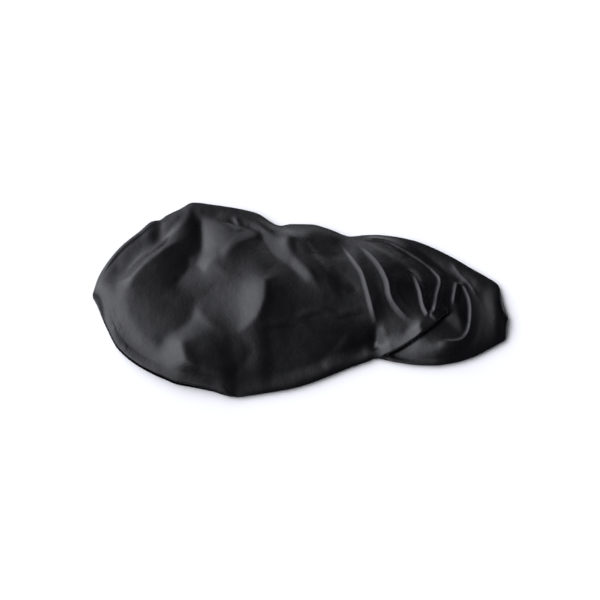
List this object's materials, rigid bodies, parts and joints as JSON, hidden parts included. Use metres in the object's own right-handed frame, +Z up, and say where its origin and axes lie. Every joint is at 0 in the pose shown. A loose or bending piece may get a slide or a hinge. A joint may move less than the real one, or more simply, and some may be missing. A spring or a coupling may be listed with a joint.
{
  "type": "satin hair bonnet",
  "caption": "Long black satin hair bonnet lying on its side, with a puffed crown, a half twist, a flat tapering tail and an open hemmed mouth for the head.",
  "frame": {"origin": "on the surface that the bonnet lies on, under the middle of its box", "axes": "+X from the crown to the tail's end, +Y to the back, away from the picture's camera, +Z up"},
  "size_m": [0.578, 0.299, 0.0489],
  "materials": {
    "satin": "black woven satin with a soft sheen",
    "satin_hem": "black satin folded over and stitched as a hem"
  },
  "bodies": {
    "root": {"upper_panel": "satin", "lower_panel": "satin", "mouth_casing": "satin_hem"}
  },
  "joints": []
}
